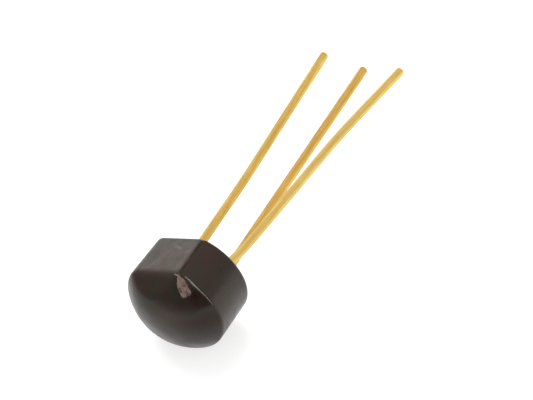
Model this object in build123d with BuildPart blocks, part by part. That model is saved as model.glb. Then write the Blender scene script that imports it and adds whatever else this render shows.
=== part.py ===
"""Small-signal transistor: a D-shaped moulded body with three round wire leads.

Every piece is modelled about the body's own axis: the base plane is z = 0, the domed nose
points along +z, the leads leave along -z and the index flat faces +y. At the end the pieces
are turned together and set down as the part comes to rest on a table, on the rim of its base
and on the ends of the two outer leads. Lengths are in millimetres, angles in degrees.
"""
from build123d import *
from copy import copy
from math import asin, atan2, cos, degrees, hypot, radians, sin, tan
import os

# Moulded body
body_radius = 2.64  # at the parting line, the widest place
side_height = 2.52  # base plane to parting line
side_draft = 1.4  # the round side narrows by this angle towards the base
dome_height = 1.32  # parting line to the nose
flat_depth = 0.44  # cut off the round side by the index flat
bevel_angle = 35.0  # slope of the bevel beyond the flat, measured from the axis
base_rounding = 0.1
rim_rounding = 0.16
flat_edge_rounding = 0.3
corner_rounding = 0.07

# Flash left standing on the parting line, from the flat's corner round to flash_end
flash_height = 0.035
flash_width = 0.06
flash_root = 0.12
flash_end = 4.0

# Broken end of the moulding gate, on the dome below the flat's corner
gate_length = 1.15
gate_tip_width = 0.14
gate_width = 0.6
gate_height = 0.06
gate_azimuth = 44.0  # round the axis from +x to the middle of the scar
gate_polar = 44.0  # down from the nose, seen from the dome's centre
gate_turn = -34.0  # of the scar's long axis, away from the direction round the rim
gate_rounding = 0.12

# Leads: round wire on one pin circle
lead_radius = 0.22
lead_circle_radius = 1.27
lead_tip_rounding = 0.04
exit_depth = 0.4  # the wire turns this far outside the base
exit_bend_radius = 3.0
hand_bend_radius = 80.0
pulled_bend_radius = 25.0  # where the collector lead was pulled aside near the body

# How far each lead's end stands beyond the base plane
emitter_reach = 15.59
base_reach = 15.23
collector_reach = 16.0

# Where each lead was bent to by hand: (x, y, z) of its corners beyond the base, and its end
emitter_route = [(-1.415, 0.182, -6.5), (-1.784, 0.653, -emitter_reach)]
base_route = [(0.663, -0.042, -base_reach)]
collector_route = [
    (1.405, -0.145, -2.0),
    (1.765, -0.405, -10.4),
    (2.158, -0.812, -collector_reach),
]
emitter_bends = [exit_bend_radius, hand_bend_radius]
base_bends = [exit_bend_radius]
collector_bends = [exit_bend_radius, pulled_bend_radius, hand_bend_radius]

# Sealed in the moulding
head_radius = 0.42  # flattened head of each lead
head_thickness = 0.14
head_level = 1.0  # underside of the heads
die_width = 0.46
die_thickness = 0.16
pad_spacing = 0.22  # of the two bonding pads on the chip
wire_radius = 0.0125
ball_radius = 0.045
ball_height = 0.03
loop_height = 0.3  # of a bond wire above its ball
loop_bend_radius = 0.12
shoulder_fraction = 0.3  # of the wire's run, after which it slopes down
stitch_length = 0.126
stitch_width = 0.072
stitch_inset = 0.17  # of the stitch from the middle of the lead's head

# Worked out from the sizes above
base_radius = body_radius - side_height * tan(radians(side_draft))
flat_distance = body_radius - flat_depth
nose_level = side_height + dome_height
dome_radius = (body_radius**2 + dome_height**2) / (2 * dome_height)
dome_centre = nose_level - dome_radius
head_top = head_level + head_thickness
die_top = head_top + die_thickness
emitter_place = (-lead_circle_radius, 0.0)
base_place = (0.0, -lead_circle_radius)
collector_place = (lead_circle_radius, 0.0)


def bent_lead(place, route, bend_radii, label):
    """A round wire with a flattened head: straight up through the body, bent along its route."""
    x, y = place
    corners = [(x, y, head_level), (x, y, -exit_depth)] + route
    with BuildPart() as lead:
        with BuildLine() as centreline:
            if len(bend_radii) == 1:
                FilletPolyline(*corners, radius=bend_radii[0])
            else:
                FilletPolyline(*corners, radius=bend_radii)
        with BuildSketch(Plane(origin=corners[0], z_dir=(0, 0, -1))):
            Circle(lead_radius)
        sweep(path=centreline.line)
        wire_end = lead.faces().filter_by(GeomType.PLANE).sort_by(Axis.Z)[0]
        fillet(wire_end.edges(), radius=lead_tip_rounding)
        with BuildSketch(Plane.XY.offset(head_level)):
            with Locations(place):
                Circle(head_radius)
        extrude(amount=head_thickness)
    lead.part.label = label
    return lead.part


def bond_wire(pad, post, label):
    """Fine wire: a ball on the chip, a loop over to the lead's head and a flat stitch there."""
    pad_top = Vector(pad[0], pad[1], die_top)
    ball_middle = pad_top + Vector(0, 0, ball_height / 2)
    loop_top = pad_top + Vector(0, 0, ball_height + loop_height)
    run = Vector(post[0] - pad[0], post[1] - pad[1], 0)
    stitch_middle = Vector(post[0], post[1], head_top) - run.normalized() * stitch_inset
    landing = stitch_middle + Vector(0, 0, wire_radius)
    with BuildPart() as wire:
        with BuildLine() as loop:
            FilletPolyline(
                ball_middle, loop_top, loop_top + run * shoulder_fraction, landing,
                radius=loop_bend_radius,
            )
        with BuildSketch(Plane(origin=ball_middle, z_dir=(0, 0, 1))):
            Circle(wire_radius)
        sweep(path=loop.line)
        with BuildSketch(Plane(origin=pad_top, z_dir=(0, 0, 1))):
            Circle(ball_radius)
        extrude(amount=ball_height)
        with BuildSketch(Plane(origin=stitch_middle, x_dir=run.normalized(), z_dir=(0, 0, 1))):
            Ellipse(stitch_length / 2, stitch_width / 2)
        extrude(amount=2 * wire_radius)
    wire.part.label = label
    return wire.part


emitter_lead = bent_lead(emitter_place, emitter_route, emitter_bends, "emitter_lead")
base_lead = bent_lead(base_place, base_route, base_bends, "base_lead")
collector_lead = bent_lead(collector_place, collector_route, collector_bends, "collector_lead")

# Chip, bonded on the collector lead's head
with BuildPart() as silicon_die:
    with BuildSketch(Plane.XY.offset(head_top)):
        with Locations(collector_place):
            Rectangle(die_width, die_width)
    extrude(amount=die_thickness)
silicon_die.part.label = "silicon_die"

emitter_pad = (collector_place[0] - pad_spacing / 2, collector_place[1] + pad_spacing / 2)
base_pad = (collector_place[0] - pad_spacing / 2, collector_place[1] - pad_spacing / 2)
emitter_bond_wire = bond_wire(emitter_pad, emitter_place, "emitter_bond_wire")
base_bond_wire = bond_wire(base_pad, base_place, "base_bond_wire")


def flat_and_bevel(allowance):
    """All that lies behind the index flat and the bevel beyond it, both moved out a little."""
    reach = flat_distance + allowance
    bevel_rise = 1.5 * dome_height
    bevel_run = bevel_rise * tan(radians(bevel_angle))
    with BuildPart() as kept_side:
        with BuildSketch(Plane.YZ):
            with BuildLine():
                Polyline(
                    (-2 * body_radius, -side_height),
                    (reach, -side_height),
                    (reach, side_height),
                    (reach - bevel_run, side_height + bevel_rise),
                    (-2 * body_radius, side_height + bevel_rise),
                    close=True,
                )
            make_face()
            flat_edge = vertices().sort_by(Axis.X)[-2:].sort_by(Axis.Y)[-1]
            fillet(flat_edge, radius=flat_edge_rounding)
        extrude(amount=2 * body_radius, both=True)
    return kept_side.part


# Gate scar: a wedge standing a little out of the dome, its thin end at the flat's corner
azimuth = radians(gate_azimuth)
polar = radians(gate_polar)
outward = Vector(sin(polar) * cos(azimuth), sin(polar) * sin(azimuth), cos(polar))
around = Vector(-sin(azimuth), cos(azimuth), 0)
dome_middle = Vector(0, 0, dome_centre)
gate_plane = Plane(
    origin=dome_middle + outward * dome_radius, x_dir=around, z_dir=outward
).rotated((0, 0, gate_turn))
with BuildPart() as gate_scar:
    with BuildSketch(gate_plane):
        with BuildLine():
            Polyline(
                (gate_length / 2, gate_tip_width / 2),
                (-gate_length / 2, gate_width / 2),
                (-gate_length / 2, -gate_width / 2),
                (gate_length / 2, -gate_tip_width / 2),
                close=True,
            )
        make_face()
        fillet(vertices().sort_by(Axis.X)[:2], radius=gate_rounding)
    extrude(amount=gate_length / 2, both=True)
    with Locations(dome_middle):
        Sphere(dome_radius + gate_height, mode=Mode.INTERSECT)
    add(flat_and_bevel(gate_height), mode=Mode.INTERSECT)

# Flash: a thin blade along the parting line, from the flat's corner round past the gate
flat_corner = degrees(asin(flat_distance / body_radius))
flash_outward = Vector(cos(radians(flash_end)), sin(radians(flash_end)), 0)
flash_plane = Plane(
    origin=(0, 0, side_height),
    x_dir=flash_outward,
    z_dir=flash_outward.cross(Vector(0, 0, 1)),
)
with BuildPart() as flash:
    with BuildSketch(flash_plane):
        with BuildLine():
            Polyline(
                (body_radius - flash_root, -flash_width),
                (body_radius + flash_height, 0),
                (body_radius - flash_root, flash_width),
                close=True,
            )
        make_face()
    revolve(axis=Axis.Z, revolution_arc=flat_corner - flash_end)

# Body: a drafted round side under a shallow dome, cut by the index flat and the bevel beyond it
with BuildPart() as epoxy_body:
    with BuildSketch(Plane.XZ):
        with BuildLine():
            base_line = Line((0, 0), (base_radius, 0))
            side_line = Line(base_line @ 1, (body_radius, side_height))
            nose_arc = RadiusArc(side_line @ 1, (0, nose_level), -dome_radius)
            Line(nose_arc @ 1, (0, 0))
        make_face()
        fillet(vertices().sort_by(Axis.X)[-1], radius=rim_rounding)
    revolve(axis=Axis.Z)
    add(flat_and_bevel(0), mode=Mode.INTERSECT)
    flat_face = faces().filter_by(GeomType.PLANE).filter_by(Axis.Y).sort_by(Axis.Y)[-1]
    upright_edges = flat_face.edges().sort_by(Axis.X)
    fillet([upright_edges[0], upright_edges[-1]], radius=corner_rounding)
    fillet(faces().sort_by(Axis.Z)[0].edges(), radius=base_rounding)
    add(flash.part)
    add(gate_scar.part)
    for sealed_piece in (
        emitter_lead,
        base_lead,
        collector_lead,
        silicon_die.part,
        emitter_bond_wire,
        base_bond_wire,
    ):
        add(sealed_piece, mode=Mode.SUBTRACT)
epoxy_body.part.label = "epoxy_body"


def resting_up(end_a, end_b):
    """Up direction when the base rim and two lead ends stand on one level surface."""
    across = end_b - end_a
    across_angle = atan2(across.Y, across.X)
    slope = 0.0
    for _ in range(20):
        roll = asin(-across.Z * tan(slope) / hypot(across.X, across.Y)) - across_angle
        end_height = end_a.X * sin(roll) + end_a.Y * cos(roll)
        drop = end_height + base_radius - base_rounding + (base_rounding - lead_radius) / cos(slope)
        slope = atan2(drop, base_rounding - end_a.Z)
    return Vector(sin(roll) * cos(slope), cos(roll) * cos(slope), sin(slope))


# The part at rest: +Z up, the leads pointing along +Y, the origin under the middle of its box
up = resting_up(Vector(*emitter_route[-1]), Vector(*collector_route[-1]))
rightward = up.cross(Vector(0, 0, 1)).normalized()
resting_plane = Plane(origin=(0, 0, 0), x_dir=rightward, z_dir=up)
pieces = [
    epoxy_body.part,
    emitter_lead,
    base_lead,
    collector_lead,
    silicon_die.part,
    emitter_bond_wire,
    base_bond_wire,
]
turned = [resting_plane.to_local_coords(piece) for piece in pieces]
box = Compound(children=[copy(piece) for piece in turned]).bounding_box()
set_down = Location((-box.center().X, -box.center().Y, -box.min.Z))
os.makedirs("parts", exist_ok=True)
for piece, source in zip(turned, pieces):
    placed = piece.moved(set_down)
    placed.label = source.label
    export_step(placed, f"parts/{placed.label}.step")
print("box", box.size, "set down by", set_down.position)
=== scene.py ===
"""Small-signal transistor on a white table: dark epoxy body with an index flat, gold leads.

Shapes are worked out in millimetres about the body's own axis, as the solids are: the base plane
is z = 0, the domed nose points along +z, the leads leave along -z and the index flat faces +y.
Each finished point is then turned into the shared frame, in metres.
"""
import math

import bpy
import numpy as np
from mathutils import Matrix


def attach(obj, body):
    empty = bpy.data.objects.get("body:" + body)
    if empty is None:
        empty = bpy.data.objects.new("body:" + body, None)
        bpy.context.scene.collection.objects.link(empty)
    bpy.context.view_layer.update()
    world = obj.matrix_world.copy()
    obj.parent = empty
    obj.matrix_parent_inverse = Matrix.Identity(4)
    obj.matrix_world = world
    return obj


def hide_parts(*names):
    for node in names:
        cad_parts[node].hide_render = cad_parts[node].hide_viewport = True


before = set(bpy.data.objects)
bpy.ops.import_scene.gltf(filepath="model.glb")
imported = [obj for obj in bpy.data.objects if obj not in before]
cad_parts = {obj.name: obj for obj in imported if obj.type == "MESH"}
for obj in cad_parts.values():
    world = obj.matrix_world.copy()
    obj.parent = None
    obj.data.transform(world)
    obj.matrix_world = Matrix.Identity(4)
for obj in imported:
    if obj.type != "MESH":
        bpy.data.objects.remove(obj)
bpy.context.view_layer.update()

# Moulded body, in millimetres and degrees
BODY_RADIUS = 2.64
SIDE_HEIGHT = 2.52
SIDE_DRAFT = 1.4
DOME_HEIGHT = 1.32
FLAT_DEPTH = 0.44
BEVEL_ANGLE = 35.0
BASE_RADIUS = BODY_RADIUS - SIDE_HEIGHT * math.tan(math.radians(SIDE_DRAFT))
FLAT_DISTANCE = BODY_RADIUS - FLAT_DEPTH
NOSE_LEVEL = SIDE_HEIGHT + DOME_HEIGHT
DOME_RADIUS = (BODY_RADIUS**2 + DOME_HEIGHT**2) / (2 * DOME_HEIGHT)
DOME_CENTRE = NOSE_LEVEL - DOME_RADIUS
FLAT_CORNER = math.asin(FLAT_DISTANCE / BODY_RADIUS)

# Softness of the moulded edges: how far from the edge the two faces start to blend
RIM_BLEND = 0.07
BASE_BLEND = 0.14
FLAT_BEVEL_BLEND = 0.22
CORNER_BLEND = 0.12

# Where the dome stands proud of the rim beside the gate: height, and azimuths of its ends
SWELL = 0.026
SWELL_AZIMUTHS = np.radians([-4.0, 12.0, 28.0, 44.0])
RIM_POLAR_COSINE = 0.6

# Gate scar, on a plane that touches the dome: middle, half length, half width at stations along it
GATE_AZIMUTH = math.radians(44.0)
GATE_POLAR = math.radians(44.0)
GATE_TURN = math.radians(-34.0)
GATE_MIDDLE = (0.10, -0.075)
GATE_HALF_LENGTH = 0.56
GATE_STATIONS = (-1.0, -0.6, 0.0, 0.45, 0.8, 1.0)
GATE_HALF_WIDTHS = (0.29, 0.30, 0.285, 0.225, 0.14, 0.09)
GATE_HEIGHT = 0.05
GATE_SQUARENESS = 4.4  # power of the superellipse: 2 is an oval, more is squarer

# Flash: a long blade on the parting line, and a short one across the flat's corner
FLASH_AZIMUTHS = np.radians([7.5, 49.5])
FLASH_DROP = 0.075  # how far the long blade's start by the gate lies below the rim
FLASH_HEIGHT = 0.04
FLASH_WIDTH = 0.05
CORNER_FLASH = [(1.22, 2.19, 2.49), (1.38, 2.19, 2.535), (1.49, 2.16, 2.565), (1.57, 2.105, 2.60)]

# Leads
LEAD_RADIUS = 0.22
LEAD_CIRCLE_RADIUS = 1.27
EXIT_DEPTH = 0.4
EXIT_BEND_RADIUS = 3.0
HAND_BEND_RADIUS = 80.0
PULLED_BEND_RADIUS = 25.0
HEAD_RADIUS = 0.42
HEAD_THICKNESS = 0.14
HEAD_LEVEL = 1.0
HEAD_EDGE = 0.02  # width of the chamfer round the head
TIP_ROUNDING = 0.05
LEADS = {  # place in the base, corners beyond it, bend radius at each corner
    "emitter": (
        (-1.27, 0.0), [(-1.415, 0.182, -6.5), (-1.784, 0.653, -15.59)],
        (EXIT_BEND_RADIUS, HAND_BEND_RADIUS)),
    "base": ((0.0, -1.27), [(0.663, -0.042, -15.23)], (EXIT_BEND_RADIUS,)),
    "collector": (
        (1.27, 0.0), [(1.405, -0.145, -2.0), (1.765, -0.405, -10.4), (2.158, -0.812, -16.0)],
        (EXIT_BEND_RADIUS, PULLED_BEND_RADIUS, HAND_BEND_RADIUS)),
}

# The body's axes in the shared frame, as rows, and the middle of its base plane
BODY_AXES = np.array([
    [0.932241, 0.052935, 0.357945],
    [-0.361838, 0.136383, 0.922211],
    [0.0, -0.989241, 0.146296],
])
BASE_MIDDLE = np.array([0.0, -6.01776, 2.53951])
MILLIMETRE = 0.001

# How finely the skins are divided
BODY_COLUMNS = 420
BASE_ROWS, SIDE_ROWS, DOME_ROWS = 26, 62, 112
SURFACE_HALVINGS = 32
RAY_REACH = 1.3  # rays end this many times as far out as the guide shape
GATE_COLUMNS, GATE_ROWS = 180, 34
FLASH_COLUMNS, FLASH_ROWS = 24, 460
CORNER_FLASH_ROWS = 60
LEAD_COLUMNS, LEAD_ROWS = 64, 420


# ---- geometry helpers ----

def into_frame(points):
    """Points about the body's axis, in millimetres, turned into the shared frame, in metres."""
    return (BASE_MIDDLE + points @ BODY_AXES) * MILLIMETRE


def spread(low, high, count, density):
    """count values from low to high, packed as density says: equal steps of its running sum."""
    fine = np.linspace(low, high, 4001)
    running = np.concatenate([[0.0], np.cumsum(density((fine[1:] + fine[:-1]) / 2))])
    return np.interp(np.linspace(0, running[-1], count), running, fine)


def soft_max(a, b, blend):
    """The larger of two distances, with a quarter of a parabola where they are nearly equal."""
    near = np.clip(blend - np.abs(a - b), 0, None) / blend
    return np.maximum(a, b) + near**2 * blend / 4


def smooth_step(low, high, x):
    """0 below low, 1 above high, and a smooth cubic rise between."""
    t = np.clip((x - low) / (high - low), 0, 1)
    return t * t * (3 - 2 * t)


def ripples(points, seed, count, wavelength):
    """Sum of count plane sine waves in seeded random directions, scaled to lie within -1 to 1."""
    rng = np.random.default_rng(seed)
    directions = rng.normal(size=(count, 3))
    directions /= np.linalg.norm(directions, axis=1, keepdims=True)
    waves = 2 * np.pi / (wavelength * rng.uniform(0.7, 1.5, count))
    phases = rng.uniform(0, 2 * np.pi, count)
    total = np.zeros(points.shape[:-1])
    for direction, wave, phase in zip(directions, waves, phases):
        total += np.sin(points @ direction * wave + phase)
    return total / count


def skin(name, grid, marks=None):
    """A closed skin over a grid of points [row, column], which wraps round its columns.

    The first and last rows each shrink to their mean point, a pole closed by a fan of triangles.
    marks are values for the same grid, kept as attributes of the points."""
    rows, columns = grid.shape[:2]
    capped = lambda values: np.concatenate(
        [values[0].mean(0)[None], values[1:-1].reshape((-1,) + values.shape[2:]),
         values[-1].mean(0)[None]])
    points = into_frame(capped(grid))
    place = 1 + np.arange((rows - 2) * columns).reshape(rows - 2, columns)
    beside = np.roll(place, -1, axis=1)
    last = len(points) - 1
    quads = np.stack([place[:-1], beside[:-1], beside[1:], place[1:]], -1).reshape(-1, 4)
    first_fan = np.stack([np.zeros(columns, int), beside[0], place[0]], -1)
    last_fan = np.stack([np.full(columns, last), place[-1], beside[-1]], -1)
    a, b, c, d = (points[quads[:, i]] for i in range(4))
    middle = points.mean(0)
    if (np.cross(c - a, d - b) * (a - middle)).sum() < 0:
        quads, first_fan, last_fan = quads[:, ::-1], first_fan[:, ::-1], last_fan[:, ::-1]
    mesh = bpy.data.meshes.new(name)
    mesh.from_pydata(points.tolist(), [], quads.tolist() + first_fan.tolist() + last_fan.tolist())
    mesh.shade_smooth()
    for mark, values in (marks or {}).items():
        kind = "FLOAT_VECTOR" if values.ndim == 3 else "FLOAT"
        field = "vector" if values.ndim == 3 else "value"
        mesh.attributes.new(mark, kind, "POINT").data.foreach_set(
            field, capped(values).astype(np.float32).ravel())
    piece = bpy.data.objects.new(name, mesh)
    bpy.context.scene.collection.objects.link(piece)
    return piece


# ---- epoxy body ----

SCUFFS = [  # on the index flat: x, z, half length, half width, tilt
    (0.27, 0.72, 0.30, 0.10, 0.33), (1.02, 0.93, 0.15, 0.08, -0.9), (-0.5, 1.9, 0.12, 0.03, 0.2),
]
DENTS = [  # x, y, z, radius, depth
    (-0.6, 2.2, 1.3, 0.35, 0.006), (0.5, 2.2, 1.75, 0.28, 0.005), (-1.2, -0.9, 3.5, 0.5, 0.006),
    (0.4, -1.9, 3.1, 0.45, 0.008), (2.3, 0.9, 1.2, 0.5, 0.006), (1.34, 2.2, 0.02, 0.09, 0.03),
    (-2.2, -1.2, 1.6, 0.5, 0.006), (0.3, -2.5, 1.1, 0.45, 0.007), (-0.9, 0.6, 3.6, 0.4, 0.005),
]


def rim_swell(points):
    """How far the dome stands out beside the gate: a smooth rise and fall round the rim, which
    fades towards the nose."""
    azimuth = np.arctan2(points[..., 1], points[..., 0])
    first, full, last_full, last = SWELL_AZIMUTHS
    around = smooth_step(first, full, azimuth) * smooth_step(last, last_full, azimuth)
    return SWELL * around * smooth_step(3.2, 2.6, points[..., 2])


def body_distance(points):
    """How far points lie outside the moulded body.

    A drafted cone and a sphere meet at the rim, a plane and a tilted plane make the index flat
    and the bevel beyond it, and the base plane closes it, each pair by its own soft maximum.
    Slow ripples of a few thousandths of a millimetre and shallow dents unsettle the surface."""
    x, y, z = points[..., 0], points[..., 1], points[..., 2]
    draft, tilt = math.radians(SIDE_DRAFT), math.radians(BEVEL_ANGLE)
    side = (np.hypot(x, y) - BASE_RADIUS) * math.cos(draft) - z * math.sin(draft)
    dome = np.sqrt(x**2 + y**2 + (z - DOME_CENTRE) ** 2) - DOME_RADIUS - rim_swell(points)
    rounded = soft_max(side, dome, RIM_BLEND)
    flat = y - FLAT_DISTANCE
    bevel = flat * math.cos(tilt) + (z - SIDE_HEIGHT) * math.sin(tilt)
    cut = soft_max(flat, bevel, FLAT_BEVEL_BLEND)
    distance = soft_max(soft_max(rounded, cut, CORNER_BLEND), -z, BASE_BLEND)
    distance = distance + 0.002 * (1 + ripples(points, 11, 9, 1.7))
    distance = distance + 0.0008 * (1 + ripples(points, 12, 12, 0.45))
    for dx, dy, dz, radius, depth in DENTS:
        away = (x - dx) ** 2 + (y - dy) ** 2 + (z - dz) ** 2
        distance = distance + depth * np.exp(-away / radius**2)
    return distance


def guide_outline(azimuth, radius, reach):
    """Distance from the axis to a D-shaped outline: a circle cut by a line at y = reach."""
    rise = np.sin(azimuth)
    return np.where(rise * radius > reach, reach / np.maximum(rise, 1e-6), radius)


def body_surface():
    """Points of the body's skin, one ray for each point of a sharp-edged guide shape.

    The guide runs out over the base, up the side and in over the dome. Rays from a point inside
    the body through the guide are halved again and again, towards the place where body_distance
    is 0."""
    corners = (FLAT_CORNER, math.pi - FLAT_CORNER)
    near_corners = lambda a: 1 + sum(
        5 * np.exp(-((a - corner) / 0.035) ** 2) for corner in corners)
    azimuth = spread(0, 2 * math.pi, BODY_COLUMNS + 1, near_corners)[:-1]
    near = lambda level, width: lambda v: 1 + 5 * np.exp(-((v - level) / width) ** 2)
    over_base = spread(0, 1, BASE_ROWS, near(1.0, 0.06))
    up_side = spread(0, SIDE_HEIGHT, SIDE_ROWS,
                     lambda v: near(0.0, 0.1)(v) + near(SIDE_HEIGHT, 0.15)(v))
    rim_polar = math.asin(BODY_RADIUS / DOME_RADIUS)
    over_dome = spread(0, rim_polar, DOME_ROWS, near(0.0, 0.06))
    a = azimuth[None, :]
    base_edge = guide_outline(a, BASE_RADIUS, FLAT_DISTANCE)
    base_rho = over_base[:, None] * base_edge
    side_radius = BASE_RADIUS + up_side[1:-1, None] * math.tan(math.radians(SIDE_DRAFT))
    side_rho = guide_outline(a, side_radius, FLAT_DISTANCE)
    polar = rim_polar - over_dome[:, None]
    dome_level = DOME_CENTRE + DOME_RADIUS * np.cos(polar)
    reach = FLAT_DISTANCE - (dome_level - SIDE_HEIGHT) * math.tan(math.radians(BEVEL_ANGLE))
    dome_rho = guide_outline(a, DOME_RADIUS * np.sin(polar), reach)
    rho = np.vstack([base_rho, side_rho, dome_rho])
    level = np.concatenate([np.zeros(len(over_base)), up_side[1:-1], dome_level[:, 0]])[:, None]
    guide = np.stack([rho * np.cos(a), rho * np.sin(a), level + 0 * rho], -1)
    heart = np.array([0.0, 0.0, 1.5])
    ray = guide - heart
    inside, outside = np.zeros(rho.shape), np.full(rho.shape, RAY_REACH)
    for _ in range(SURFACE_HALVINGS):
        halfway = (inside + outside) / 2
        within = body_distance(heart + ray * halfway[..., None]) < 0
        inside, outside = np.where(within, halfway, inside), np.where(within, outside, halfway)
    return heart + ray * inside[..., None]


def body_scuffs(points):
    """Rubbed spots on the index flat: long soft ellipses, 1 in the middle and 0 outside."""
    on_flat = smooth_step(FLAT_DISTANCE - 0.06, FLAT_DISTANCE - 0.03, points[..., 1])
    rubbed = np.zeros(points.shape[:-1])
    for x, z, half_length, half_width, tilt in SCUFFS:
        dx, dz = points[..., 0] - x, points[..., 2] - z
        along = (dx * math.cos(tilt) + dz * math.sin(tilt)) / half_length
        across = (dz * math.cos(tilt) - dx * math.sin(tilt)) / half_width
        rubbed = np.maximum(rubbed, np.exp(-((along**2 + across**2) ** 1.5)))
    return rubbed * on_flat


def gate_surface():
    """The broken gate: a wedge on the dome, rounded at its wide end and rough on top.

    Rows run in from a skirt sunk in the dome to the middle line, and columns run round it. The
    outline is a superellipse whose width grows from the thin end to the wide one, and each
    point stands on the dome's sphere by the wedge's height plus its roughness."""
    turn = np.linspace(0, 2 * np.pi, GATE_COLUMNS + 1)[:-1][None, :]
    inward = np.concatenate([[-0.35, -0.2, -0.08], np.linspace(0, 1, GATE_ROWS) ** 1.25])[:, None]
    across, along = np.sin(turn), np.cos(turn)
    power = GATE_SQUARENESS
    square = 1 / (np.abs(across) ** power + np.abs(along) ** power) ** (1 / power)
    size = np.clip(1 - inward, 0, None) + 0.045 * np.clip(-inward, 0, None)
    ragged = 1 + 0.035 * np.sin(5 * turn + 1.0) + 0.03 * np.sin(11 * turn + 0.4)
    u = along * square * size * ragged
    v = across * square * size * ragged
    p = GATE_MIDDLE[0] + u * GATE_HALF_LENGTH
    q = GATE_MIDDLE[1] + v * np.interp(u, GATE_STATIONS, GATE_HALF_WIDTHS)
    around = np.array([-math.sin(GATE_AZIMUTH), math.cos(GATE_AZIMUTH), 0.0])
    outward = np.array([
        math.sin(GATE_POLAR) * math.cos(GATE_AZIMUTH),
        math.sin(GATE_POLAR) * math.sin(GATE_AZIMUTH), math.cos(GATE_POLAR)])
    aside = np.cross(outward, around)
    x_dir = around * math.cos(GATE_TURN) + aside * math.sin(GATE_TURN)
    y_dir = np.cross(outward, x_dir)
    sphere = np.array([0, 0, DOME_CENTRE])
    tangent = sphere + outward * DOME_RADIUS + p[..., None] * x_dir + q[..., None] * y_dir
    towards = tangent - sphere
    towards /= np.linalg.norm(towards, axis=-1, keepdims=True)
    rise = smooth_step(-0.02, 0.22, inward + 0 * turn)
    rough = ripples(tangent, 21, 24, 0.16) * 0.9 + ripples(tangent, 22, 24, 0.07) * 0.5
    height = GATE_HEIGHT * (0.72 + 0.3 * rough) * rise - 0.02 + 0.35 * np.minimum(inward, 0)
    height = height + rim_swell(sphere + towards * DOME_RADIUS)
    surface = sphere + towards * (DOME_RADIUS + height)[..., None]
    over = surface[..., 1] - (FLAT_DISTANCE + 0.02)
    surface[..., 1] -= np.clip(over, 0, None)
    return surface


def long_flash_line():
    """Points along the rim under the long blade: it starts below the rim and soon follows it."""
    azimuth = np.linspace(*FLASH_AZIMUTHS, FLASH_ROWS)
    rim = np.stack([np.cos(azimuth) * BODY_RADIUS, np.sin(azimuth) * BODY_RADIUS,
                    SIDE_HEIGHT + 0 * azimuth], -1)
    lift = rim_swell(rim) / RIM_POLAR_COSINE
    rim[:, 2] += lift - FLASH_DROP * smooth_step(np.radians(36.0), FLASH_AZIMUTHS[1], azimuth)
    return rim


def flash_surface(line, seed, thin, thick):
    """Flash: a thin blade along a line on the body, whose height wavers.

    Rows run along the line and columns round a flattened oval, which points away from the
    body's axis. Its size grows from thin to thick, and both ends shrink into the body."""
    share = np.linspace(0, 1, len(line))[:, None]
    turn = np.linspace(0, 2 * np.pi, FLASH_COLUMNS + 1)[:-1][None, :]
    size = thin + (thick - thin) * smooth_step(0.1, 0.75, share)
    end = smooth_step(0, 0.12, share) * smooth_step(0, 0.06, 1 - share) * size
    waver = (ripples(line, seed, 8, 0.5) * 0.5 + ripples(line, seed + 1, 10, 0.17) * 0.5)[:, None]
    height = FLASH_HEIGHT * (0.75 + waver) * end
    outward = line * np.array([1, 1, 0])
    outward /= np.linalg.norm(outward, axis=1, keepdims=True)
    way = np.gradient(line, axis=0)
    aside = np.cross(outward, way)
    aside /= np.linalg.norm(aside, axis=1, keepdims=True)
    root = 0.1 * np.clip(-np.cos(turn), 0, 1)
    out = (height + 0.028) * np.clip(np.cos(turn), 0, 1) ** 0.8 - 0.028 - root
    side = FLASH_WIDTH * 0.5 * np.sin(turn) * (0.2 + 0.8 * end) * (1 + 0.6 * waver)
    return line[:, None] + out[..., None] * outward[:, None] + side[..., None] * aside[:, None]


# ---- leads ----

def lead_line(corners, bend_radii):
    """A wire's middle line through its corners: straight runs and a parabola round each bend.

    Each bend starts and ends where an arc of its radius would. Returns points, and the distance
    from the start along the line for each."""
    corners = np.array(corners, float)
    runs = np.diff(corners, axis=0)
    lengths = np.linalg.norm(runs, axis=1)
    ways = runs / lengths[:, None]
    pieces = [corners[:1]]
    for i in range(1, len(corners) - 1):
        bend = math.acos(min(1.0, float(ways[i - 1] @ ways[i])))
        reach = bend_radii[i - 1] * math.tan(bend / 2)
        t = np.linspace(0, 1, 13)[:, None]
        before, after = corners[i] - ways[i - 1] * reach, corners[i] + ways[i] * reach
        pieces.append((1 - t) ** 2 * before + 2 * t * (1 - t) * corners[i] + t**2 * after)
    pieces.append(corners[-1:])
    rough = np.concatenate(pieces)
    steps = np.concatenate([[0], np.cumsum(np.linalg.norm(np.diff(rough, axis=0), axis=1))])
    return rough, steps


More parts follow.
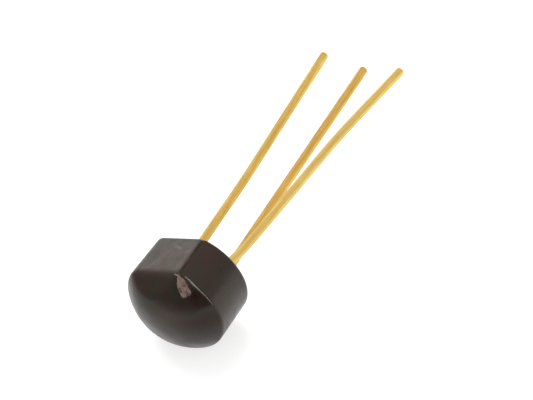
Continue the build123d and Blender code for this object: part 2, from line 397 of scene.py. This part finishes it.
def lead_surface(corners, bend_radii, seed):
    """Round wire carried along its line, with its flattened head at the start and a cut tip.

    Rows are stations (distance along the line, radius); columns go round. Drawing has left the
    wire a few thousandths out of round, and slow ripples bend it by less than its tolerance.
    Also returns each point's place on the straightened wire, for streaks that run along it."""
    rough, steps = lead_line(corners, bend_radii)
    total = steps[-1]
    run = spread(HEAD_THICKNESS + 0.02, total - TIP_ROUNDING, LEAD_ROWS, lambda s: 1 + 0 * s)
    quarter = np.linspace(0, np.pi / 2, 7)
    tip = total - TIP_ROUNDING + TIP_ROUNDING * np.sin(quarter)
    tip_radius = LEAD_RADIUS - TIP_ROUNDING * (1 - np.cos(quarter))
    cut = np.array([0.75, 0.5, 0.25, 0.0]) * tip_radius[-1]
    station = np.concatenate([
        [0, 0, 0, HEAD_EDGE, HEAD_THICKNESS - HEAD_EDGE, HEAD_THICKNESS, HEAD_THICKNESS],
        run, tip[1:], np.full(4, total)])
    head = HEAD_RADIUS - HEAD_EDGE
    radius = np.concatenate([
        [0, 0.5 * head, head, HEAD_RADIUS, HEAD_RADIUS, head, LEAD_RADIUS + 0.01],
        np.full(len(run), LEAD_RADIUS), tip_radius[1:], cut])
    middle = np.stack([np.interp(station, steps, rough[:, k]) for k in range(3)], -1)
    ahead = np.stack([np.interp(station + 0.02, steps, rough[:, k]) for k in range(3)], -1)
    behind = np.stack([np.interp(station - 0.02, steps, rough[:, k]) for k in range(3)], -1)
    way = ahead - behind
    way /= np.linalg.norm(way, axis=1, keepdims=True)
    aside = np.cross(way, [0.0, 1.0, 0.0])
    aside /= np.linalg.norm(aside, axis=1, keepdims=True)
    other = np.cross(way, aside)
    turn = np.linspace(0, 2 * np.pi, LEAD_COLUMNS + 1)[:-1][None, :]
    drawn = np.stack([
        np.cos(turn) * LEAD_RADIUS + 0 * station[:, None],
        np.sin(turn) * LEAD_RADIUS + 0 * station[:, None],
        station[:, None] + 0 * turn], -1)
    stretched = drawn * np.array([1, 1, 0.05])
    worn = 0.0022 * (ripples(stretched, seed, 14, 0.12) - 0.6)
    worn = worn + 0.0016 * (ripples(drawn, seed + 1, 10, 0.9) - 0.6)
    exposed = smooth_step(HEAD_THICKNESS, HEAD_THICKNESS + 1.2, station)[:, None]
    full = radius[:, None] + worn * exposed * (radius[:, None] > 0.05)
    shape = middle[:, None] + full[..., None] * (
        np.cos(turn)[..., None] * aside[:, None] + np.sin(turn)[..., None] * other[:, None])
    return shape, drawn


# ---- materials ----

BLACK, WHITE = (0, 0, 0, 1), (1, 1, 1, 1)

def node_group(name, inputs, outputs):
    """A new shader node group with its sockets, and its input and output nodes."""
    group = bpy.data.node_groups.new(name, "ShaderNodeTree")
    for label, kind, value in inputs:
        socket = group.interface.new_socket(label, in_out="INPUT", socket_type=kind)
        if value is not None:
            socket.default_value = value
    for label, kind in outputs:
        group.interface.new_socket(label, in_out="OUTPUT", socket_type=kind)
    return group, group.nodes.new("NodeGroupInput"), group.nodes.new("NodeGroupOutput")


def feed(tree, into, value):
    """Joins a socket to an input, or sets the input to a plain value."""
    if isinstance(value, bpy.types.NodeSocket):
        tree.links.new(value, into)
    else:
        into.default_value = value


def add_node(tree, kind, joined=None, **fields):
    """A node in a tree: joined feeds its inputs by name or number, fields sets its own fields."""
    node = tree.nodes.new(kind)
    for label, value in fields.items():
        setattr(node, label, value)
    for label, value in (joined or {}).items():
        feed(tree, node.inputs[label], value)
    return node


def make_mottle_group():
    """Mottle: noise at one scale, squared off between Low and High, mixing two colours."""
    group, source, sink = node_group("mottle", [
        ("Vector", "NodeSocketVector", None), ("Scale", "NodeSocketFloat", 1.0),
        ("Detail", "NodeSocketFloat", 4.0), ("Low", "NodeSocketFloat", 0.35),
        ("High", "NodeSocketFloat", 0.65), ("Colour A", "NodeSocketColor", BLACK),
        ("Colour B", "NodeSocketColor", WHITE),
    ], [("Colour", "NodeSocketColor"), ("Mask", "NodeSocketFloat")])
    given = source.outputs
    noise = add_node(group, "ShaderNodeTexNoise", {
        "Vector": given["Vector"], "Scale": given["Scale"], "Detail": given["Detail"]})
    span = add_node(group, "ShaderNodeMapRange", {
        "Value": noise.outputs["Fac"], "From Min": given["Low"], "From Max": given["High"],
    }, interpolation_type="SMOOTHSTEP")
    mix = add_node(group, "ShaderNodeMix", {
        "Factor": span.outputs["Result"], "A": given["Colour A"], "B": given["Colour B"],
    }, data_type="RGBA")
    feed(group, sink.inputs["Colour"], mix.outputs["Result"])
    feed(group, sink.inputs["Mask"], span.outputs["Result"])
    return group


MOTTLE = make_mottle_group()


class Finish:
    """A material under way: its Principled shader, and short ways to place and join nodes."""

    def __init__(self, name, **fixed):
        self.material = bpy.data.materials.new(name)
        self.material.use_nodes = True
        self.tree = self.material.node_tree
        self.shader = self.tree.nodes["Principled BSDF"]
        self.place = self.add("ShaderNodeTexCoord").outputs["Object"]
        for label, value in fixed.items():
            self.shader.inputs[label.replace("_", " ")].default_value = value

    def add(self, kind, joined=None, **fields):
        """A node of this finish."""
        return add_node(self.tree, kind, joined, **fields)

    def mottle(self, vector, scale, colour_a, colour_b, low=0.35, high=0.65, detail=4.0):
        """The shared mottle group, with this finish's own values."""
        return self.add("ShaderNodeGroup", {
            "Vector": vector, "Scale": scale, "Detail": detail, "Low": low, "High": high,
            "Colour A": colour_a, "Colour B": colour_b}, node_tree=MOTTLE).outputs

    def mask(self, vector, scale, low, high, detail):
        """The mottle's mask alone, from 0 to 1."""
        return self.mottle(vector, scale, BLACK, WHITE, low, high, detail)["Mask"]

    def mix(self, factor, a, b):
        """A colour between a and b by factor."""
        return self.add("ShaderNodeMix", {"Factor": factor, "A": a, "B": b},
                        data_type="RGBA").outputs["Result"]

    def span(self, value, low, high):
        """value, from 0 to 1, carried to low to high."""
        return self.add("ShaderNodeMapRange", {
            "Value": value, "To Min": low, "To Max": high}).outputs["Result"]

    def bump(self, height, distance):
        """A bump of a real distance in metres."""
        return self.add("ShaderNodeBump", {
            "Height": height, "Distance": distance, "Strength": 1.0}).outputs["Normal"]

    def finish(self, colour, roughness, normal=None):
        """Feeds what was worked out to the shader."""
        for label, value in (("Base Color", colour), ("Roughness", roughness), ("Normal", normal)):
            if value is not None:
                feed(self.tree, self.shader.inputs[label], value)
        return self.material


def epoxy_finish():
    """Dark moulding compound, reddish in some clouds and olive in others: satin skin, filler
    specks and rubbed spots."""
    f = Finish("epoxy_satin", IOR=1.52, Specular_Tint=(0.90, 0.825, 0.735, 1))
    broad = f.mottle(f.place, 1100, (0.022, 0.0085, 0.006, 1), (0.013, 0.0115, 0.007, 1),
                     0.38, 0.62, 3)["Colour"]
    speck = f.mask(f.place, 14000, 0.60, 0.74, 2)
    colour = f.mix(f.span(speck, 0.0, 0.12), broad, (0.09, 0.075, 0.068, 1))
    scuff = f.add("ShaderNodeAttribute", attribute_name="scuff").outputs["Fac"]
    streak = f.mask(f.place, 7000, 0.2, 0.6, 3)
    rubbed = f.add("ShaderNodeMath", {0: scuff, 1: streak}, operation="MULTIPLY").outputs[0]
    colour = f.mix(rubbed, colour, (0.075, 0.088, 0.105, 1))
    rough = f.span(f.mask(f.place, 1500, 0.3, 0.7, 5), 0.23, 0.37)
    fine = f.add("ShaderNodeTexNoise", {"Vector": f.place, "Scale": 26000, "Detail": 3.0})
    return f.finish(colour, rough, f.bump(fine.outputs["Fac"], 1.2e-6))


def fracture_finish():
    """Torn moulding compound: dry, pinkish tan where the filler shows, dark in the hollows."""
    f = Finish("epoxy_torn", IOR=1.5)
    broad = f.mottle(f.place, 4200, (0.065, 0.038, 0.029, 1), (0.27, 0.175, 0.15, 1),
                     0.38, 0.62, 5)["Colour"]
    fine = f.mask(f.place, 17000, 0.35, 0.65, 4)
    colour = f.mix(f.span(fine, 0.0, 0.35), broad, (0.30, 0.20, 0.17, 1))
    return f.finish(colour, 0.62, f.bump(fine, 8e-6))


def flash_painted_highlight_finish():
    """Flash, painted pale and a little chalky: a painted highlight of the rim's glint."""
    f = Finish("epoxy_flash_painted_highlight", IOR=1.5)
    # painted highlight: this pale mottle stands in for the glint along the rim's edge
    broken = f.mottle(f.place, 5200, (0.12, 0.10, 0.09, 1), (0.36, 0.32, 0.30, 1), 0.3, 0.6, 4)
    return f.finish(broken["Colour"], f.span(broken["Mask"], 0.45, 0.6))


def gold_finish(name, light, dark, roughness):
    """Gold plating on drawn wire: fine streaks along the wire and dull cloudy patches."""
    f = Finish(name, Metallic=1.0, Specular_Tint=(0.35, 0.42, 0.7, 1), Sheen_Weight=0.12,
               Sheen_Roughness=0.6, Sheen_Tint=(0.75, 0.9, 1.0, 1))
    drawn = f.add("ShaderNodeAttribute", attribute_name="drawn").outputs["Vector"]
    stretched = f.add("ShaderNodeMapping", {
        "Vector": drawn, "Scale": (1.0, 1.0, 0.045)}).outputs["Vector"]
    streaks = f.mottle(stretched, 16, light, dark, 0.3, 0.72, 4)
    cloud = f.mask(drawn, 1.6, 0.35, 0.7, 5)
    colour = f.mix(f.span(cloud, 0.0, 0.4), streaks["Colour"], dark)
    rough = f.span(streaks["Mask"], roughness - 0.05, roughness + 0.07)
    grain = f.add("ShaderNodeTexNoise", {"Vector": stretched, "Scale": 34.0, "Detail": 4.0})
    return f.finish(colour, rough, f.bump(grain.outputs["Fac"], 4e-6))


def sealed_finish(name, colour_a, colour_b, metallic, roughness):
    """A finish for the pieces sealed in the body: faint mottle on a smooth surface."""
    f = Finish(name, Metallic=metallic)
    tone = f.mottle(f.place, 3000, colour_a, colour_b)
    return f.finish(tone["Colour"], f.span(tone["Mask"], roughness, roughness + 0.08))


# ---- pieces ----

body_points = body_surface()
body = skin("epoxy_body_skin", body_points, {"scuff": body_scuffs(body_points)})
body.data.materials.append(epoxy_finish())
gate = skin("gate_scar", gate_surface())
gate.data.materials.append(fracture_finish())
# The flash blades carry a painted highlight: their pale colour stands in for the rim's glint.
flash_highlight_look = flash_painted_highlight_finish()
flash = skin("flash_line", flash_surface(long_flash_line(), 31, 0.5, 1.25))
corner_line = np.array(CORNER_FLASH)
corner_steps = np.linspace(0, len(corner_line) - 1, CORNER_FLASH_ROWS)
corner_line = np.stack([
    np.interp(corner_steps, range(len(corner_line)), corner_line[:, k]) for k in range(3)], -1)
corner_flash = skin("corner_flash", flash_surface(corner_line, 41, 0.45, 0.6))
for blade in (flash, corner_flash):
    blade.data.materials.append(flash_highlight_look)
for piece in (body, gate, flash, corner_flash):
    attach(piece, "root")
    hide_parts("epoxy_body")

GOLDS = {  # light and dark colour of the streaks, and middle roughness
    "emitter": ((1.0, 0.735, 0.22, 1), (0.82, 0.575, 0.145, 1), 0.56),
    "base": ((1.0, 0.69, 0.20, 1), (0.80, 0.54, 0.13, 1), 0.56),
    "collector": ((1.0, 0.77, 0.26, 1), (0.87, 0.63, 0.18, 1), 0.56),
}
for number, (name, ((x, y), route, bend_radii)) in enumerate(LEADS.items()):
    corners = [(x, y, HEAD_LEVEL + HEAD_THICKNESS), (x, y, -EXIT_DEPTH)] + route
    shape, drawn = lead_surface(corners, bend_radii, 50 + 10 * number)
    wire = skin(f"{name}_wire", shape, {"drawn": drawn})
    wire.data.materials.append(gold_finish(f"gold_{name}", *GOLDS[name]))
    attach(wire, "root")
    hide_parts(f"{name}_lead")

silicon = sealed_finish("silicon_chip", (0.09, 0.10, 0.12, 1), (0.16, 0.17, 0.2, 1), 0.4, 0.12)
bonding_gold = sealed_finish("bonding_gold", (0.9, 0.64, 0.24, 1), (0.8, 0.55, 0.2, 1), 1.0, 0.2)
for node, finish in (("silicon_die", silicon), ("emitter_bond_wire", bonding_gold),
                     ("base_bond_wire", bonding_gold)):
    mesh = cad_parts[node].data
    mesh.materials.clear()
    mesh.materials.append(finish)

# ---- table, surroundings, lamps and camera ----


TABLE_HALF_WIDTH = 1.5
TABLE_COLOUR = (0.8, 0.8, 0.8, 1)
TABLE_SEEN = 0.62
TABLE_GLOW = 0.56  # for mirrored rays, less what each dim patch takes away
DIM_PATCHES = [  # on the table: middle, radii of its full and outer edges, how much it takes
    ((0.0085, -0.0165, 0.0), 0.003, 0.012, 0.56),
    ((-0.013, -0.0165, 0.0), 0.003, 0.010, 0.56),
]
WORLD_LIGHT = 0.42  # for diffuse rays

# What mirrored rays see: direction round the part from its front, height above the table,
# angles at which each patch is full and gone, all in degrees, and how bright it is
PATCHES = {
    "bright_back_left": (-128, 7, 10, 27, 1.85),
    "dark_back_left": (-141, 33, 3, 15, 0.2),
    "dim_left": (-66, 22, 30, 56, 0.46),
    "dim_front": (-5, 18, 26, 50, 0.40),
    "dim_right": (95, 25, 14, 44, 0.44),
    "dark_by_camera": (40, 18, 16, 32, 0.02),
    "dark_strip": (12, 9, 5, 18, 0.2),
}
ROOM_LEVEL = 0.78  # for mirrored rays away from the patches
MIRRORED_TINT = (1.06, 0.985, 0.94, 1)


def table_top(name, half_width):
    """A flat square on z = 0, in metres."""
    corners = [(-1, -1), (1, -1), (1, 1), (-1, 1)]
    mesh = bpy.data.meshes.new(name)
    mesh.from_pydata([(x * half_width, y * half_width, 0.0) for x, y in corners], [],
                     [(0, 1, 2, 3)])
    top = bpy.data.objects.new(name, mesh)
    bpy.context.scene.collection.objects.link(top)
    return top


def seen_directly(tree, path):
    """1 for camera rays and for rays through glass, else 0."""
    return add_node(tree, "ShaderNodeMath", {
        0: path.outputs["Is Camera Ray"], 1: path.outputs["Is Transmission Ray"],
    }, operation="MAXIMUM").outputs[0]


def table_finish():
    """White table: diffuse, with a glow for camera, mirrored and see-through rays.

    The mirrored glow fades to nothing in the dim patches, by distance from their middles."""
    material = bpy.data.materials.new("white_table")
    material.use_nodes = True
    tree = material.node_tree
    tree.nodes.clear()
    path = add_node(tree, "ShaderNodeLightPath")
    place = add_node(tree, "ShaderNodeTexCoord").outputs["Object"]
    glow = TABLE_GLOW
    for middle, full, gone, most in DIM_PATCHES:
        away = add_node(tree, "ShaderNodeVectorMath", {0: place, 1: middle}, operation="DISTANCE")
        loss = add_node(tree, "ShaderNodeMapRange", {
            "Value": away.outputs["Value"], "From Min": full, "From Max": gone,
            "To Min": most, "To Max": 0.0}, interpolation_type="SMOOTHSTEP")
        glow = add_node(tree, "ShaderNodeMath", {0: glow, 1: loss.outputs["Result"]},
                        operation="SUBTRACT", use_clamp=True).outputs[0]
    mirrored = add_node(tree, "ShaderNodeMath", {0: path.outputs["Is Glossy Ray"], 1: glow},
                        operation="MULTIPLY").outputs[0]
    strength = add_node(tree, "ShaderNodeMath", {
        0: seen_directly(tree, path), 1: TABLE_SEEN, 2: mirrored,
    }, operation="MULTIPLY_ADD").outputs[0]
    matt = add_node(tree, "ShaderNodeBsdfDiffuse", {"Color": TABLE_COLOUR})
    shine = add_node(tree, "ShaderNodeEmission", {"Strength": strength})
    both = add_node(tree, "ShaderNodeAddShader", {0: matt.outputs[0], 1: shine.outputs[0]})
    add_node(tree, "ShaderNodeOutputMaterial", {"Surface": both.outputs[0]})
    return material


def toward(turn, height):
    """Unit direction at turn degrees round from the front, height degrees above the table."""
    turn, height = math.radians(turn), math.radians(height)
    return (math.sin(turn) * math.cos(height), -math.cos(turn) * math.cos(height), math.sin(height))


def studio_world():
    """White to the camera, a plain level for diffuse light, and soft patches for glossy rays.

    Each patch turns the mirrored level towards its own, by a smooth step of the angle between
    the ray and the patch's middle."""
    world = bpy.data.worlds.new("white_studio")
    world.use_nodes = True
    tree = world.node_tree
    ray = add_node(tree, "ShaderNodeTexCoord").outputs["Generated"]
    mirrored = ROOM_LEVEL
    for turn, height, full, gone, brightness in PATCHES.values():
        dot = add_node(tree, "ShaderNodeVectorMath", {0: ray, 1: toward(turn, height)},
                       operation="DOT_PRODUCT")
        share = add_node(tree, "ShaderNodeMapRange", {
            "Value": dot.outputs["Value"], "From Min": math.cos(math.radians(gone)),
            "From Max": math.cos(math.radians(full))}, interpolation_type="SMOOTHSTEP")
        mirrored = add_node(tree, "ShaderNodeMix", {
            "Factor": share.outputs["Result"], "A": mirrored, "B": brightness,
        }).outputs["Result"]
    path = add_node(tree, "ShaderNodeLightPath")
    glossy = path.outputs["Is Glossy Ray"]
    lighting = add_node(tree, "ShaderNodeMix", {
        "Factor": glossy, "A": WORLD_LIGHT, "B": mirrored}).outputs["Result"]
    level = add_node(tree, "ShaderNodeMix", {
        "Factor": seen_directly(tree, path), "A": lighting, "B": 1.0}).outputs["Result"]
    tint = add_node(tree, "ShaderNodeMix", {
        "Factor": glossy, "A": WHITE, "B": MIRRORED_TINT}, data_type="RGBA").outputs["Result"]
    background = tree.nodes["Background"]
    feed(tree, background.inputs["Strength"], level)
    feed(tree, background.inputs["Color"], tint)
    return world


def standing(right, up, back, place):
    """The matrix of a lamp or camera that looks away from back, standing at place."""
    return Matrix([[right[i], up[i], back[i], place[i]] for i in range(3)] + [[0, 0, 0, 1]])


def soft_lamp(name, place, size, watts):
    """A square soft lamp at place, in metres, aimed at the body."""
    light = bpy.data.lights.new(name, "AREA")
    light.shape = "SQUARE"
    light.size = size
    light.energy = watts
    lamp = bpy.data.objects.new(name, light)
    back = np.array(place, float) - np.array([0, -0.002, 0.002])
    back /= np.linalg.norm(back)
    across = np.cross([0.0, 0.0, 1.0], back)
    across /= np.linalg.norm(across)
    lamp.matrix_world = standing(across, np.cross(back, across), back, place)
    lamp.visible_glossy = False
    bpy.context.scene.collection.objects.link(lamp)
    return lamp


table = table_top("white_table_top", TABLE_HALF_WIDTH)
table.data.materials.append(table_finish())
bpy.context.scene.world = studio_world()
soft_lamp("key_lamp", (-0.10, 0.10, 0.26), 0.22, 0.42)
soft_lamp("fill_lamp", (0.22, -0.06, 0.20), 0.24, 0.16)

# The camera stands about 0.14 m from the body, a long lens looking down past the nose
CAMERA_PLACE = (0.0600874, -0.0652852, 0.1143345)
CAMERA_RIGHT = (0.86206, 0.47157, -0.18568)
CAMERA_UP = (-0.28777, 0.75703, 0.58659)
CAMERA_BACK = (0.41718, -0.45224, 0.78831)
FOCAL_LENGTH = 197.27
lens = bpy.data.cameras.new("camera")
lens.sensor_fit = "HORIZONTAL"
lens.sensor_width = 36.0
lens.lens = FOCAL_LENGTH
lens.clip_start = 0.002
lens.clip_end = 10.0
camera = bpy.data.objects.new("camera", lens)
camera.matrix_world = standing(CAMERA_RIGHT, CAMERA_UP, CAMERA_BACK, CAMERA_PLACE)
bpy.context.scene.collection.objects.link(camera)
bpy.context.scene.camera = camera

bpy.context.scene.view_settings.view_transform = "Standard"
